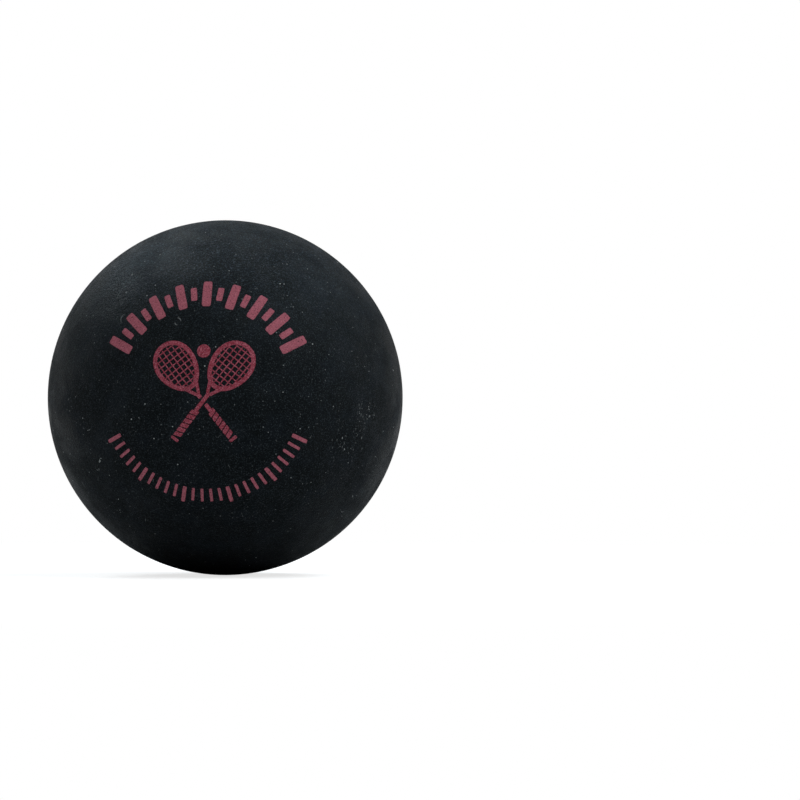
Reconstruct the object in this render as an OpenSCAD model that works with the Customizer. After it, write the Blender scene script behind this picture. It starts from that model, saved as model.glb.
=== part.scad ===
// Squash ball: two moulded rubber half shells, cemented edge to edge round a sealed hollow,
// with one coloured dot stamped into the pole of the rear half.
// The origin is the middle of the ball. The pole axis is Y: the printed face looks along -Y,
// the dot along +Y, and the seam lies in the plane Y = 0.

/* [Ball] */
// Outside diameter of the finished ball
ball_d = 40; // [39.5:0.1:45]
// Thickness of the moulded rubber wall
wall = 5; // [4:0.1:6]

/* [Seam] */
// Thickness of the cured cement line between the two buffed edges
cement_t = 0.2; // [0.1:0.05:0.5]
// Relief buffed on the inner corner of each edge, where the cement gathers
edge_relief = 0.4; // [0.2:0.05:1]
// How far the squeezed-out bead laps onto the inner wall, past the relief
bead_lap = 0.25; // [0.1:0.05:0.6]

/* [Dot] */
// Diameter of the coloured dot
dot_d = 2.8; // [1.5:0.1:5]
// Thickness of the paint in the dot
dot_film = 0.1; // [0.05:0.01:0.3]
// How far the paint lies below the surface of the ball
dot_sink = 0.05; // [0.02:0.01:0.2]

/* [Hidden] */

$fn = 128;
ball_r = ball_d / 2;
hollow_r = ball_r - wall;
dot_r = dot_d / 2;
// How far a cut runs past the surface that it opens
overrun = 1;
// The dot's paint and the floor of its recess are both concentric with the ball
dot_top_r = ball_r - dot_sink;
dot_floor_r = dot_top_r - dot_film;
// The bead is round, centred on the inner wall, and covers both relieved corners
bead_r = cement_t / 2 + edge_relief + bead_lap;

// Turns a shape built along +Z so that its pole looks along -Y, to the printed face
module to_front() {
    rotate([90, 0, 0]) children();
}

// Turns a shape built along +Z so that its pole looks along +Y, to the dot
module to_rear() {
    rotate([-90, 0, 0]) children();
}

// Cuts the inner corner of a buffed edge at 45 degrees: a triangle whose long side starts on
// the flat edge and passes out through the inner wall
module relief_profile() {
    reach = 2 * edge_relief;
    translate([hollow_r - edge_relief, cement_t / 2])
        polygon([[0, 0], [reach, 0], [0, reach]]);
}

// Half section of one half shell, with the pole axis up the page: an arc of wall that
// stops at a flat edge, half a cement line above the seam plane
module shell_profile() {
    difference() {
        intersection() {
            difference() {
                circle(r = ball_r);
                circle(r = hollow_r);
            }
            translate([0, cement_t / 2]) square(ball_r);
        }
        relief_profile();
    }
}

// Half section of the cement: the line between the edges and the bead at its inner end,
// less the rubber on both sides, so that it fills the relieved corners exactly
module cement_profile() {
    difference() {
        union() {
            intersection() {
                circle(r = ball_r);
                translate([hollow_r, -cement_t / 2]) square([wall, cement_t]);
            }
            translate([hollow_r, 0]) circle(r = bead_r);
        }
        shell_profile();
        mirror([0, 1]) shell_profile();
    }
}

// The recess stamped into the pole: straight sides, and a floor that follows the ball
module dot_recess() {
    difference() {
        cylinder(h = ball_r + overrun, r = dot_r);
        sphere(r = dot_floor_r);
    }
}

module half_shell() {
    rotate_extrude() shell_profile();
}

module front_half_shell() {
    color("#1d2124") to_front() half_shell();
}

module rear_half_shell() {
    color("#1d2124") to_rear() difference() {
        half_shell();
        dot_recess();
    }
}

module seam_cement() {
    color("#3a352c") to_rear() rotate_extrude() cement_profile();
}

// The paint is the part of a ball of the dot's own level that lies in the recess
module speed_dot() {
    color("#a8343a") to_rear() intersection() {
        dot_recess();
        sphere(r = dot_top_r);
    }
}

front_half_shell();
rear_half_shell();
seam_cement();
speed_dot();
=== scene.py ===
# %% [markdown]
# A squash ball is a small hollow sphere of black rubber. It is moulded as two half shells, whose flat
# edges are buffed and cemented together, and the whole ball is then rubbed down until it is matt.
# One face carries a print in dull red ink, and the opposite pole a small stamped red dot.
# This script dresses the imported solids: every visible piece is a fine numpy surface laid over its solid,
# with a material that has the grain, dust and scuffs of a ball that has been handled.

# %% Load the frame
import math

import bpy
import numpy as np
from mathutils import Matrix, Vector


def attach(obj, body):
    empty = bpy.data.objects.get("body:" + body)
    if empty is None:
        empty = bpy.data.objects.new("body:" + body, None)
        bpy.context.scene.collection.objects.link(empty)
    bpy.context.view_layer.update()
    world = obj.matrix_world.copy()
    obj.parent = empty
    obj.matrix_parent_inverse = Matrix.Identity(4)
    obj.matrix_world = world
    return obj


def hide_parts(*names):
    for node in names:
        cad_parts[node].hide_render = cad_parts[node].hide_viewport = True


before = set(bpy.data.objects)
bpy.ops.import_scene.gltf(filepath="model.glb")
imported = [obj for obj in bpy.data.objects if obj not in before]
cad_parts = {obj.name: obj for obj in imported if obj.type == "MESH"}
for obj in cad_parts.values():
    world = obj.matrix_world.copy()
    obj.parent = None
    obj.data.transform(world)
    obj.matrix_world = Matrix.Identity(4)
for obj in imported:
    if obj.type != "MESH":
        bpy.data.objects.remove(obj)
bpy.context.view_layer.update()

# %% [markdown]
# The photograph looks level at the printed face, a few degrees to one side of its middle. Its right, its
# up and the way towards the camera are needed more than once, so they are set here.

# %% The view
VIEW_AZIMUTH = math.radians(7.04)
CAMERA_DISTANCE = 0.7
RIGHT = Vector((math.cos(VIEW_AZIMUTH), math.sin(VIEW_AZIMUTH), 0))
TOWARD = Vector((math.sin(VIEW_AZIMUTH), -math.cos(VIEW_AZIMUTH), 0))
UP = Vector((0, 0, 1))
print("towards the camera:", [round(value, 3) for value in TOWARD])

# %% [markdown]
# The sizes of the ball could be typed here again, but then the looks could drift away from the solids.
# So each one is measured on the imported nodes: the ball's radius, the radius of its hollow, half the
# cement line, the relief on the inner corner of the edges, and the dot's radius and levels.

# %% Measure the solids
MM = 0.001
TOUCH = 0.001 * MM  # surfaces closer together than this count as one


def node_points(name):
    """The corners of a CAD node, as rows of x, y and z in metres."""
    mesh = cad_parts[name].data
    flat = np.empty(3 * len(mesh.vertices))
    mesh.vertices.foreach_get("co", flat)
    return flat.reshape(-1, 3)


def from_pole_axis(points):
    """Distance of each point from the Y axis: the root of x squared plus z squared."""
    return np.hypot(points[:, 0], points[:, 2])


front_points = node_points("front_half_shell")
front_radii = np.linalg.norm(front_points, axis=1)
ball_r = front_radii.max()
hollow_r = front_radii.min()
half_cement = -front_points[:, 1].max()
edge_points = front_points[front_points[:, 1] > -half_cement - TOUCH]
edge_relief = from_pole_axis(edge_points).min() - hollow_r

dot_points = node_points("speed_dot")
dot_r = from_pole_axis(dot_points).max()
dot_top_r = np.linalg.norm(dot_points, axis=1).max()
dot_floor_r = np.linalg.norm(dot_points, axis=1).min()

sizes = {
    "ball_r": ball_r, "hollow_r": hollow_r, "half_cement": half_cement, "edge_relief": edge_relief,
    "dot_r": dot_r, "dot_top_r": dot_top_r, "dot_floor_r": dot_floor_r,
}
for name, value in sizes.items():
    print(f"{name}: {value / MM:.3f} mm")

# %% [markdown]
# Rubber that comes out of a press and off a buffing wheel is never a perfect sphere. It has slow swells,
# a few hundredths of a millimetre high, and a fine unevenness a few millimetres across, like very flat
# orange peel. A bump map could fake this, but a real change of radius also shows in the mesh and in the
# outline. The bumps are a sum of sine waves that cross the ball in many directions, because that is smooth
# everywhere, has no pole and needs no table of numbers. The surface only dips below the true sphere,
# so the ball never grows past its solids.

# %% The level of the rubber
SWELL = 0.020 * MM
SWELL_SPACING = 17 * MM
PEEL = 0.005 * MM
PEEL_SPACING = 3.2 * MM
INK_FILM = 0.014 * MM
SEAM_DIP = 0.015 * MM
SEAM_DIP_WIDTH = 0.22 * MM
WAVE_PEAK = 1.4  # the sum of many sines, over the root of their number, seldom passes this


def waves(direction, spacing, seed, count=28):
    """Smooth bumps from about -1 to 1: the mean of sines of (k times the direction along a random axis,
    plus a random phase), scaled up, where k gives a crest every spacing on the ball."""
    dice = np.random.default_rng(seed)
    axes = dice.normal(size=(count, 3))
    axes /= np.linalg.norm(axes, axis=1, keepdims=True)
    phases = dice.uniform(0, 2 * np.pi, count)
    k = 2 * np.pi * ball_r / spacing
    total = np.sin(k * direction @ axes.T + phases).sum(axis=-1)
    return np.clip(total / math.sqrt(count) / WAVE_PEAK, -1, 1)


def rubber_level(direction):
    """Radius of the rubber along unit directions: the ball's radius, less room for the ink, less the
    swells and the peel, less a dip that fades away from the seam as a bell curve."""
    swell = SWELL * (1 - waves(direction, SWELL_SPACING, seed=11)) / 2
    peel = PEEL * (1 - waves(direction, PEEL_SPACING, seed=12)) / 2
    from_seam = ball_r * direction[..., 1] / SEAM_DIP_WIDTH
    return ball_r - INK_FILM - swell - peel - SEAM_DIP * np.exp(-from_seam**2)


sample = np.random.default_rng(1).normal(size=(4000, 3))
sample /= np.linalg.norm(sample, axis=1, keepdims=True)
depth = ball_r - rubber_level(sample)
print(f"the rubber lies {1000 * depth.min():.3f} to {1000 * depth.max():.3f} mm under the true sphere")

# %% [markdown]
# A half shell is a solid of revolution, and the usual way to mesh one is rings round the axis. That ends
# in a fan of thin triangles at the pole, which is the middle of the printed face, where a wrinkle in the
# shading would show most. So the dome is laid on a square grid instead. The k-th square round the middle
# becomes the k-th ring, with 8k points spaced evenly in angle. The mesh has no fan in sight, and its
# cells stay about a quarter of a millimetre wide from pole to rim. The edge and the inner wall, which
# nobody sees, go on from the rim as plain loops and close on the axis inside.

# %% A closed form round a pole
def square_rings(count):
    """Ring number and angle of each point of a square grid. The ring is the larger of |i| and |j|, and
    the angle is a quarter turn times j/i, or times 2 - i/j, plus half a turn on the far sides."""
    steps = np.arange(-count, count + 1)
    i, j = np.meshgrid(steps, steps, indexing="ij")
    ring = np.maximum(abs(i), abs(j))
    across = abs(i) >= abs(j)
    with np.errstate(divide="ignore", invalid="ignore"):
        angle = np.where(across, j / i, 2 - i / j) * np.pi / 4
    angle += np.pi * np.where(across, i < 0, j < 0)
    angle[count, count] = 0
    return ring.ravel(), angle.ravel()


def pole_form(profile, rings):
    """A closed form from a half section: rows of (distance from the axis, height along it). Rows 0 to
    rings go on a square grid from the pole to the rim, the next rows are loops, and the last is a point.
    Returns local points, with the pole up Z, and faces."""
    side = 2 * rings + 1
    ring, angle = square_rings(rings)
    out, height = profile[ring].T
    dome = np.stack([out * np.cos(angle), out * np.sin(angle), height], axis=1)
    rim = np.flatnonzero(ring == rings)
    rim = rim[np.argsort(np.round(angle[rim] % (2 * np.pi), 9))]
    turn = 2 * np.pi * np.arange(len(rim)) / len(rim)
    loops = profile[rings + 1 : -1]
    around = np.stack(np.broadcast_arrays(
        loops[:, :1] * np.cos(turn), loops[:, :1] * np.sin(turn), loops[:, 1:]), axis=2)
    points = np.concatenate([dome, around.reshape(-1, 3), [[0, 0, profile[-1, 1]]]])

    grid = np.arange(side * side).reshape(side, side)
    corners = [grid[:-1, :-1], grid[1:, :-1], grid[1:, 1:], grid[:-1, 1:]]
    dome_faces = np.stack(corners, axis=2).reshape(-1, 4)
    loop_ids = side * side + np.arange(len(loops) * len(rim)).reshape(-1, len(rim))
    ids = np.concatenate([rim[None], loop_ids])
    after = np.roll(ids, -1, axis=1)
    loop_faces = np.stack([ids[:-1], ids[1:], after[1:], after[:-1]], axis=2).reshape(-1, 4)
    tip = np.full(len(rim), len(points) - 1)
    tip_faces = np.stack([ids[-1], tip, after[-1]], axis=1)
    return points, [*dome_faces.tolist(), *loop_faces.tolist(), *tip_faces.tolist()]


def to_front(local):
    """Turns a form built up Z so that its pole looks along -Y, to the printed face."""
    return np.stack([local[:, 0], -local[:, 2], local[:, 1]], axis=1)


def to_rear(local):
    """Turns a form built up Z so that its pole looks along +Y, to the dot."""
    return np.stack([local[:, 0], local[:, 2], -local[:, 1]], axis=1)


print("points in rings 0 to 3 of a square grid:", np.bincount(square_rings(3)[0]).tolist())

# %% [markdown]
# Each form becomes one object at the origin, with its place in its mesh. Smooth shading hides the facets,
# and edges sharper than 40 degrees, such as the corner between the dome and the flat edge, stay crisp.
# Two things can go wrong without being seen in a render: a hole in the mesh, and faces that look inwards.
# So each piece is tested as it is made, on whole arrays of its corners.

# %% Tests of a mesh
def steps_round_faces(mesh):
    """Every step from one corner of a face to the next: the points that it leaves and those it reaches."""
    corners = np.empty(len(mesh.loops), dtype=np.int32)
    mesh.loops.foreach_get("vertex_index", corners)
    starts = np.empty(len(mesh.polygons), dtype=np.int32)
    mesh.polygons.foreach_get("loop_start", starts)
    totals = np.empty(len(mesh.polygons), dtype=np.int32)
    mesh.polygons.foreach_get("loop_total", totals)
    following = np.arange(1, len(corners) + 1)
    following[starts + totals - 1] = starts
    return corners.astype(np.int64), corners[following].astype(np.int64)


def is_closed(mesh):
    """True if each edge is used once in each direction, which also means that no face is turned over."""
    leaves, reaches = steps_round_faces(mesh)
    forwards = np.sort(leaves * len(mesh.vertices) + reaches)
    backwards = np.sort(reaches * len(mesh.vertices) + leaves)
    return bool((np.diff(forwards) > 0).all() and (forwards == backwards).all())


def triangles_and_volume(mesh):
    """The number of triangles, and the volume as a sum of thin pyramids from the origin, a . (b x c) / 6.
    It comes out positive only if the faces look outwards."""
    mesh.calc_loop_triangles()
    corners = np.empty(3 * len(mesh.loop_triangles), dtype=np.int32)
    mesh.loop_triangles.foreach_get("vertices", corners)
    flat = np.empty(3 * len(mesh.vertices), dtype=np.float32)
    mesh.vertices.foreach_get("co", flat)
    a, b, c = flat.reshape(-1, 3)[corners.reshape(-1, 3)].astype(float).transpose(1, 0, 2)
    return len(mesh.loop_triangles), np.einsum("ij,ij->", a, np.cross(b, c)) / 6


cad_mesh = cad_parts["front_half_shell"].data
print(f"the packed front shell holds {triangles_and_volume(cad_mesh)[1] / MM**3:.0f} mm3 of rubber")

# %% From points to a piece
SHARP = math.radians(40)


def make_piece(name, points, faces, stands_for=(), slot=None):
    """Makes a mesh object from points and faces, rides it on the ball and hides the nodes it stands for."""
    mesh = bpy.data.meshes.new(name)
    mesh.from_pydata(np.asarray(points).tolist(), [], faces)
    mesh.polygons.foreach_set("use_smooth", np.ones(len(mesh.polygons), dtype=bool))
    mesh.set_sharp_from_angle(angle=SHARP)
    mesh.update()
    piece = bpy.data.objects.new(name, mesh)
    bpy.context.scene.collection.objects.link(piece)
    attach(piece, "root")
    if stands_for:
        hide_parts(*stands_for)
    count, volume = triangles_and_volume(mesh)
    print(f"{name}: {count} triangles, closed: {is_closed(mesh)}, {volume / MM**3:.2f} mm3")
    return piece


print(f"edges sharper than {math.degrees(SHARP):.0f} degrees stay crisp")

# %% [markdown]
# The wall's half section is the same for both shells: the outer arc, the flat buffed edge, the relieved
# inner corner and the arc of the inner wall. The rear shell also has the dot's recess stamped in its pole,
# so its first rings follow the recess: a floor, a straight side and a lip that the stamp left rounded.

# %% The half shells
RINGS = 112
FINE_ROWS = 8
FINE_STEP = 0.06 * MM
INNER_STEPS = 14
RECESS_STEPS = 8
LIP = 0.04 * MM
LIP_STEPS = 5


def arc(radius, polar):
    """Points on a circle about the origin at some polar angles: (radius sin, radius cos)."""
    return np.stack([radius * np.sin(polar), radius * np.cos(polar)], axis=1)


def edge_and_inner_wall():
    """The rest of a shell's half section: along the flat edge, over the relief and up the inner wall."""
    relief_top = half_cement + edge_relief
    flat = [[ball_r - edge_relief, half_cement], [hollow_r + edge_relief, half_cement]]
    inner_start = math.acos(relief_top / hollow_r)
    inner = arc(hollow_r, np.linspace(inner_start, 0, INNER_STEPS))
    return np.concatenate([flat, inner])


def recess_rows():
    """The dot's recess: its floor, its straight side, and a lip rounded over a quarter turn."""
    floor_edge = math.asin(dot_r / dot_floor_r)
    floor = arc(dot_floor_r, np.linspace(0, floor_edge, RECESS_STEPS))
    lip_foot = math.sqrt((ball_r - INK_FILM) ** 2 - dot_r**2) - LIP
    turn = np.linspace(0, np.pi / 2, LIP_STEPS)
    lip = np.stack([dot_r + LIP * (1 - np.cos(turn)), lip_foot + LIP * np.sin(turn)], axis=1)
    return np.concatenate([floor, lip])


def shell_form(turned, first_rows):
    """A half shell: its first rows, then the outer arc to the seam, with its last rows closer together
    for the seam's dip, then the edge and the inner wall. The outer wall is then pushed to the level of
    the rubber, along each point's own direction."""
    start = math.atan2(first_rows[-1, 0], first_rows[-1, 1])
    rim = math.acos(half_cement / ball_r)
    fine = FINE_STEP / ball_r * np.arange(FINE_ROWS, -1, -1)
    slow = np.linspace(start, rim - fine[0], RINGS + 1 - len(first_rows) - FINE_ROWS + 1)[1:-1]
    outer = arc(ball_r - INK_FILM, np.concatenate([slow, rim - fine]))
    profile = np.concatenate([first_rows, outer, edge_and_inner_wall()])
    points, faces = pole_form(profile, RINGS)
    points = turned(points)
    radius = np.linalg.norm(points, axis=1)
    direction = points / radius[:, None]
    outside = np.arange(len(points)) < (2 * RINGS + 1) ** 2
    outside &= radius > ball_r - INK_FILM - TOUCH
    points[outside] = direction[outside] * rubber_level(direction[outside])[:, None]
    return points, faces


bare_pole = np.array([[0, ball_r - INK_FILM]])
front_skin = make_piece("front_half_shell_skin", *shell_form(to_front, bare_pole),
                        stands_for=["front_half_shell"], slot="shell_rubber")
rear_skin = make_piece("rear_half_shell_skin", *shell_form(to_rear, recess_rows()),
                       stands_for=["rear_half_shell"], slot="shell_rubber")

# %% [markdown]
# The cement is a ring between the two edges. Its outer face was rubbed down with the rubber, so it follows
# the same level and shows as a hairline. Inside it has gathered in the relieved corners and bulges into
# the hollow as a round bead. It is a closed half section carried round the axis, so both of its grid's
# directions join up with their own start.

# %% The seam cement
BEAD_LAP = 0.25 * MM
BEAD_STEPS = 13
AROUND_SEAM = 8 * RINGS  # as many points round the seam as the shells have round their rims


def cement_section():
    """The ring's half section, turning one way: the outer face, one side of the cement line, its relieved
    corner, the bead's arc about the inner wall, then the other corner and side."""
    bead_r = half_cement + edge_relief + BEAD_LAP
    opening = math.acos(-bead_r / (2 * hollow_r))
    swing = np.linspace(opening, 2 * np.pi - opening, BEAD_STEPS)
    bead = np.stack([hollow_r + bead_r * np.cos(swing), bead_r * np.sin(swing)], axis=1)
    outer_x = math.sqrt(ball_r**2 - half_cement**2)
    corner = [hollow_r + edge_relief, half_cement]
    wall = [math.sqrt(hollow_r**2 - (half_cement + edge_relief) ** 2), half_cement + edge_relief]
    upper = np.array([[outer_x, half_cement], [ball_r - edge_relief, half_cement], corner, wall])
    lower = upper[::-1] * [1, -1]
    return np.concatenate([upper, bead, lower, [[ball_r, 0]]])


def loop_form(section, around):
    """A closed half section carried all the way round the axis: points at (x cos, x sin, height)."""
    turn = 2 * np.pi * np.arange(around) / around
    points = np.stack(np.broadcast_arrays(
        section[:, :1] * np.cos(turn), section[:, :1] * np.sin(turn), section[:, 1:]), axis=2)
    ids = np.arange(len(section) * around).reshape(len(section), around)
    down = np.roll(ids, -1, axis=0)
    faces = np.stack([ids, np.roll(ids, -1, axis=1), np.roll(down, -1, axis=1), down], axis=2)
    return points.reshape(-1, 3), faces.reshape(-1, 4).tolist()


cement_points, cement_faces = loop_form(cement_section(), AROUND_SEAM)
cement_points = to_rear(cement_points)
cement_radius = np.linalg.norm(cement_points, axis=1)
cement_direction = cement_points / cement_radius[:, None]
on_face = cement_radius > ball_r - TOUCH
cement_points[on_face] = cement_direction[on_face] * rubber_level(cement_direction[on_face])[:, None]
cement_ring = make_piece("seam_cement_ring", cement_points, cement_faces,
                         stands_for=["seam_cement"], slot="rubber_cement")

# %% [markdown]
# The dot is a drop of thick paint dabbed into a stamped recess. It dries a little lower in the middle,
# climbs the side where it wets the rubber, keeps the grain of the rubber under it, and flakes at its edge
# with wear. It is a closed form of its own, with enough rings to carry the grain as real bumps.
# The depth of each pit also goes into the mesh as an attribute, and the paint's material reads it,
# so the dark spots in the colour sit exactly in the hollows. Two more say where a painted highlight lies
# along the rim, and where a small pale painted glint sits near it.

# %% The edge of the dot
UNEVEN_EDGE = 0.012
# Where the paint has flaked: the bearing, how wide in radians, and how deep as a share of the radius
FLAKED_OFF = [(math.radians(-20), 0.15, 0.11), (math.radians(172), 0.10, 0.04)]


def local_angle(points):
    """Angle of each point round its form's own pole axis."""
    return np.arctan2(points[:, 1], points[:, 0])


def bell(value, middle, width):
    """A bell curve of an angle, 1 at its middle: e to the power of minus (offset / width) squared."""
    offset = (value - middle + np.pi) % (2 * np.pi) - np.pi
    return np.exp(-((offset / width) ** 2))


def dot_edge(angle):
    """How far the paint's edge falls short of the recess, as a share of its radius: slow unevenness, the
    product of two sines of 3 and 7 times the angle, and one bell curve for each flake that is gone."""
    short = UNEVEN_EDGE + UNEVEN_EDGE * np.sin(3 * angle + 0.4) * np.sin(7 * angle + 2)
    for bearing, width, depth in FLAKED_OFF:
        short = short + depth * bell(angle, bearing, width)
    return short


all_round = dot_edge(np.linspace(-np.pi, np.pi, 721))
short_mm = 1000 * dot_r * all_round
print(f"the paint's edge falls {short_mm.min():.3f} to {short_mm.max():.3f} mm short of the recess")

# %% The level of the paint
PAINT_GRAIN = 0.020 * MM
PIT_THRESHOLD = 0.42
MENISCUS = 0.030 * MM
MENISCUS_REACH = 0.05


def paint_pits(direction):
    """Pits from 0 to 1: two sizes of bumps, of which only what rises above a threshold counts, made
    stronger and weaker in turn by slow waves."""
    bumps = waves(direction, 0.42 * MM, seed=23) + 0.7 * waves(direction, 0.20 * MM, seed=24)
    pits = np.clip(bumps - PIT_THRESHOLD, 0, 1)
    return np.clip(pits * (1.1 + 0.7 * waves(direction, 0.9 * MM, seed=25)), 0, 1)


def paint_level(direction, share, pits):
    """Radius of the paint: the dot's own, less its grain and its pits, plus a meniscus that dies away
    from the side as e to the power of minus (the distance from the rim / its reach)."""
    grain = waves(direction, 0.34 * MM, seed=21) + 0.7 * waves(direction, 0.17 * MM, seed=22)
    climb = np.exp(-(1 - share) / MENISCUS_REACH)
    return dot_top_r - PAINT_GRAIN * (0.7 + 0.4 * grain) - 1.2 * PAINT_GRAIN * pits + MENISCUS * climb


pole = np.array([[0, 0, 1.0]])
print(f"the paint's middle lies {1000 * (ball_r - paint_level(pole, 0, paint_pits(pole))[0]):.3f} mm deep")

# %% The dot of paint
DOT_RINGS = 70
GLUE_LINE = 0.004 * MM
# The painted highlight along the rim starts at the first share of the radius, and is full after the second
RIM_LIGHT_START, RIM_LIGHT_REACH = 0.62, 0.28
# The painted glint: its distance from the middle and its reach, and its bearing and width
GLINT_OUT, GLINT_REACH = 0.86, 0.07
GLINT_BEARING, GLINT_WIDTH = math.radians(82), 0.17


def rim_light_and_glint(angle, share):
    """Painted highlight along the rim, and a small pale painted glint near it, from 0 to 1. The rim is lit
    most on one side and a little on another, and the glint is a bell curve both ways."""
    # Both are painted light: a highlight along the rim, and a small pale glint.
    towards_rim = np.clip((share - RIM_LIGHT_START) / RIM_LIGHT_REACH, 0, 1)
    sides = bell(angle, math.radians(55), 0.75) + 0.3 * bell(angle, math.radians(-80), 0.6)
    rubbed = towards_rim * (0.04 + 0.96 * np.minimum(sides, 1))
    pale = np.exp(-(((share - GLINT_OUT) / GLINT_REACH) ** 2)) * bell(angle, GLINT_BEARING, GLINT_WIDTH)
    return rubbed, pale


def dot_form():
    """The paint: a top at the paint's level, then the side and the underside just clear of the recess.
    Returns points, faces, and three shares from 0 to 1 for the colours."""
    reach = np.linspace(0, dot_r - GLUE_LINE, DOT_RINGS + 1)
    top = np.stack([reach, np.sqrt(dot_top_r**2 - reach**2)], axis=1)
    under = dot_floor_r + GLUE_LINE
    foot = [dot_r - GLUE_LINE, math.sqrt(under**2 - dot_r**2)]
    points, faces = pole_form(np.array([*top, foot, [0, under]]), DOT_RINGS)
    share = np.hypot(points[:, 0], points[:, 1]) / dot_r
    points[:, :2] *= 1 - dot_edge(local_angle(points))[:, None]

    on_top = np.arange(len(points)) < (2 * DOT_RINGS + 1) ** 2
    direction = points[on_top] / np.linalg.norm(points[on_top], axis=1, keepdims=True)
    pits = np.zeros(len(points))
    pits[on_top] = paint_pits(direction)
    points[on_top] = direction * paint_level(direction, share[on_top], pits[on_top])[:, None]
    rubbed, pale = rim_light_and_glint(local_angle(points), share)
    return points, faces, {"pit": pits, "rubbed": rubbed, "pale": pale}


dot_points_new, dot_faces, dot_shares = dot_form()
dot_paint = make_piece("speed_dot_paint", to_rear(dot_points_new), dot_faces,
                       stands_for=["speed_dot"], slot="dot_paint")
for name, values in dot_shares.items():
    attribute = dot_paint.data.attributes.new(name, "FLOAT", "POINT")
    attribute.data.foreach_set("value", values)
pitted = (dot_shares["pit"] > 0.3).mean()
print(f"paint {2000 * dot_r:.2f} mm across, {100 * pitted:.0f}% of its points in a pit")

# %% [markdown]
# The print is a film of ink, pressed onto the ball by a soft silicone pad, which rolls a flat design onto
# the round face. So the design is drawn flat, in millimetres, and then wrapped: a point's distance from
# the middle becomes the arc length from the pole, and its bearing stays. A ball is never printed quite
# square, so the design sits a little above the pole. The film could be a pattern in the rubber's
# material, but as thin pieces of its own it keeps crisp edges at any size and catches the light.
# Its underside reaches a little into the rubber, so that no gap shows at its edge.

# %% Wrapping the design
PRINT_LIFT = math.radians(1.83)
FILM_HEIGHT = 0.011 * MM
FILM_BITE = 0.012 * MM
FILM_STEP = 0.001 * MM
FRAY = 0.014  # in mm, as the flat design is
FRAY_SPACING = 0.32 * MM


def print_direction(flat):
    """Unit directions of flat points (right, up) in mm: the angle from the pole is the distance over the
    radius, the bearing is kept, and the whole is tipped upwards about the X axis."""
    from_pole = np.hypot(flat[..., 0], flat[..., 1]) * MM / ball_r
    bearing = np.arctan2(flat[..., 0], flat[..., 1])
    x = np.sin(from_pole) * np.sin(bearing)
    y = -np.cos(from_pole)
    z = np.sin(from_pole) * np.cos(bearing)
    cos_lift, sin_lift = math.cos(PRINT_LIFT), math.sin(PRINT_LIFT)
    return np.stack([x, y * cos_lift + z * sin_lift, z * cos_lift - y * sin_lift], axis=-1)


def frayed(flat):
    """The ink creeps a few hundredths of a millimetre along the grain, so each point moves a little."""
    where = print_direction(flat)
    shift = np.stack([waves(where, FRAY_SPACING, seed=31), waves(where, FRAY_SPACING, seed=32)], axis=-1)
    return flat + FRAY * shift


def film(flat, height, closed):
    """A closed film of ink over a grid of flat points. Each row goes over the mark on top and back
    underneath, and the rows join into a flat tube, capped at its ends unless it meets itself."""
    rows, columns = flat.shape[:2]
    where = print_direction(frayed(flat))
    level = rubber_level(where)[..., None]
    points = np.concatenate([where * (level + height), (where * (level - FILM_BITE))[:, ::-1]], axis=1)
    ids = np.arange(rows * 2 * columns).reshape(rows, 2 * columns)
    around = np.roll(ids, -1, axis=1)
    ahead = np.roll(ids, -1, axis=0)
    quads = np.stack([ids, ahead, np.roll(ahead, -1, axis=1), around], axis=2)
    quads = quads if closed else quads[:-1]
    faces = quads.reshape(-1, 4).tolist()
    if not closed:
        for row, turn in ((ids[0], 1), (ids[-1], -1)):
            top, under = row[:columns], row[columns:][::-1]
            cap = np.stack([top[:-1], top[1:], under[1:], under[:-1]], axis=1)
            faces += cap[:, ::turn].tolist()
    return points.reshape(-1, 3), faces


middle_of_print = print_direction(np.zeros(2)) * 1000 * ball_r
print("the middle of the print, mm:", middle_of_print.round(2).tolist())

# %% [markdown]
# Every mark of the design is one stroke: a path with a width that may change along it. A bar is a straight
# stroke whose width rounds off at both ends, a dot is a stroke as long as it is wide, and a racket's
# head is a stroke that meets itself.

# %% Strokes
STEP = 0.10
FEWEST_STEPS = 8
ACROSS = np.linspace(-1, 1, 5)
TIP = 0.9995  # a stroke stops just short of its end, where its width would be nothing


def stroke(path, half_width, closed=False):
    """A grid of flat points: the path, plus across times the half width along the path's left normal."""
    if closed:
        ahead = np.roll(path, -1, axis=0) - np.roll(path, 1, axis=0)
    else:
        ahead = np.gradient(path, axis=0)
    ahead /= np.linalg.norm(ahead, axis=1, keepdims=True)
    left = np.stack([-ahead[:, 1], ahead[:, 0]], axis=1)
    half_width = np.broadcast_to(half_width, len(path))
    return path[:, None] + ACROSS[None, :, None] * half_width[:, None, None] * left[:, None], closed


def bar(start, end, width, roundness=8):
    """A straight stroke. Its half width is (1 - |s|^p) to the power 1/p, with s from -1 to 1 along it:
    p = 2 gives an ellipse, or a dot if it is as long as it is wide, and p = 8 a bar with soft corners."""
    start, end = np.asarray(start, float), np.asarray(end, float)
    count = max(FEWEST_STEPS, int(np.linalg.norm(end - start) / STEP))
    s = np.sin(np.linspace(-1, 1, count) * np.pi / 2) * TIP
    path = start + (end - start) * (s[:, None] + 1) / 2
    return stroke(path, width / 2 * (1 - abs(s) ** roundness) ** (1 / roundness))


def dot(middle, width):
    """A round dot."""
    middle = np.asarray(middle, float)
    return bar(middle - [width / 2, 0], middle + [width / 2, 0], width, roundness=2)


def radial(bearing, inner, outer, width):
    """A bar on a line from the middle of the print, between two distances along the ball in mm."""
    toward = np.array([math.sin(bearing), math.cos(bearing)])
    return bar(inner * toward, outer * toward, width)


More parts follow.
